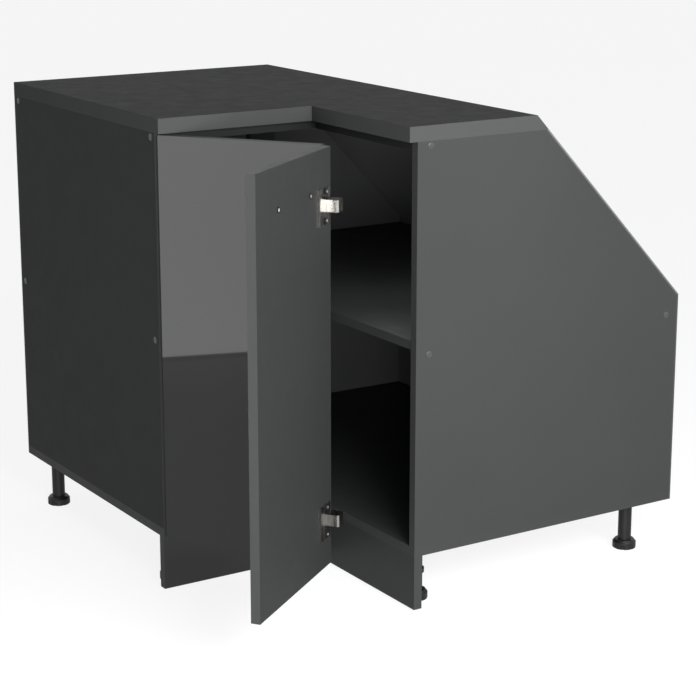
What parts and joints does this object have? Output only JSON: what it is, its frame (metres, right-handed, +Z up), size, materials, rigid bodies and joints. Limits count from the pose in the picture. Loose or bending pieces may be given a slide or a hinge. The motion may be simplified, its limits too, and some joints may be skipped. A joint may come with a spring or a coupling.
{
  "type": "corner kitchen cabinet",
  "caption": "L-shaped corner base cabinet with a worktop, a shelf, a sloping back edge and a pair of hinged leaves that open as one",
  "frame": {"origin": "the corner of the room, where the two walls meet the floor", "axes": "+X points back along the straight wall into the wall behind the slope, +Y points into the straight wall, +Z is up"},
  "size_m": [0.9655, 1.0322, 0.846],
  "materials": {
    "carcass_board": "dark graphite melamine board, matte",
    "worktop_board": "dark graphite laminate, satin",
    "back_sheet": "thin fibreboard, matte",
    "leaf_board": "board with a glossy outer face and a matte inner face",
    "black_plastic": "moulded, matte",
    "cap_plastic": "moulded, satin",
    "hinge_steel": "nickel-plated",
    "handle_steel": "brushed"
  },
  "bodies": {
    "cabinet": {"worktop": "worktop_board", "bottom_board": "carcass_board", "left_panel": "carcass_board", "right_panel": "carcass_board", "shelf": "carcass_board", "straight_back": "back_sheet", "low_back": "back_sheet", "slope_back": "back_sheet", "front_rail_left": "carcass_board", "front_rail_right": "carcass_board", "back_rail": "carcass_board", "back_upright": "carcass_board", "plinth_left": "carcass_board", "plinth_right": "carcass_board", "foot_legs": "black_plastic", "foot_bases": "black_plastic", "plinth_clips": "black_plastic", "shelf_supports": "hinge_steel", "cover_caps": "cap_plastic", "rail_screws": "hinge_steel", "swing_hinge_plates": "hinge_steel", "swing_hinge_arms": "hinge_steel", "swing_plate_screws": "hinge_steel"},
    "left_door": {"swing_hinge_cups": "hinge_steel", "swing_cup_screws": "hinge_steel", "swing_hinge_pins": "hinge_steel", "left_leaf": "leaf_board", "fold_hinge_plates": "hinge_steel", "fold_plate_screws": "hinge_steel", "fold_hinge_pins": "hinge_steel"},
    "right_door": {"fold_hinge_arms": "hinge_steel", "fold_hinge_cups": "hinge_steel", "fold_cup_screws": "hinge_steel", "right_leaf": "leaf_board", "handle": "handle_steel", "handle_screws": "hinge_steel"}
  },
  "joints": [
    {"name": "side_hinge", "type": "hinge", "parent": "cabinet", "child": "left_door", "pos_m": [-0.89, -0.6035, 0.454], "axis": [0, 0, -1], "range_deg": [-54, 36]},
    {"name": "fold_hinge", "type": "hinge", "parent": "left_door", "child": "right_door", "pos_m": [-0.72282, -0.84297, 0.454], "axis": [0, 0, -1], "range_deg": [0, 60]}
  ]
}
